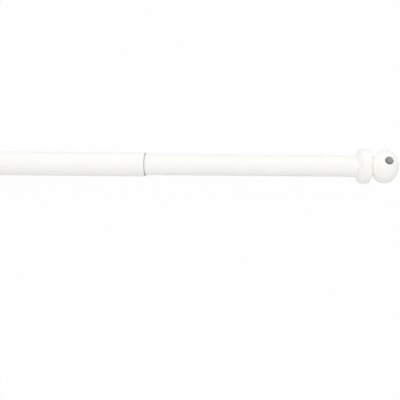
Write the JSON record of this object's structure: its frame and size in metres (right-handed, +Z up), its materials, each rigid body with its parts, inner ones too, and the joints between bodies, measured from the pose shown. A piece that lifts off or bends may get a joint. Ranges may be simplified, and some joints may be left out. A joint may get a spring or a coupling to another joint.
{
  "type": "sash rod",
  "caption": "White telescopic sash rod: a thin tube slides in a wider one, and each end has a collared ball finial with a cross hole that drops over a wall hook.",
  "frame": {"origin": "on the rod's axis, in the middle of the left finial's hook hole", "axes": "+X along the rod to the inner tube's finial, +Y towards the window, +Z up along the hook holes"},
  "size_m": [0.3965, 0.016, 0.016],
  "materials": {
    "coated_steel": "smooth white gloss coat on thin rolled steel",
    "finial_plastic": "glossy white moulded plastic"
  },
  "bodies": {
    "outer_section": {"outer_tube": "coated_steel", "left_finial": "finial_plastic"},
    "inner_section": {"inner_tube": "coated_steel"},
    "right_end": {"right_finial": "finial_plastic"}
  },
  "joints": [
    {"name": "telescope_slide", "type": "slide", "parent": "outer_section", "child": "inner_section", "axis": [1, 0, 0], "range_m": [-0.0959, 0.1036]},
    {"name": "finial_turn", "type": "hinge", "parent": "inner_section", "child": "right_end", "pos_m": [0.37133, 0, 0], "axis": [1, 0, 0], "continuous": true}
  ]
}
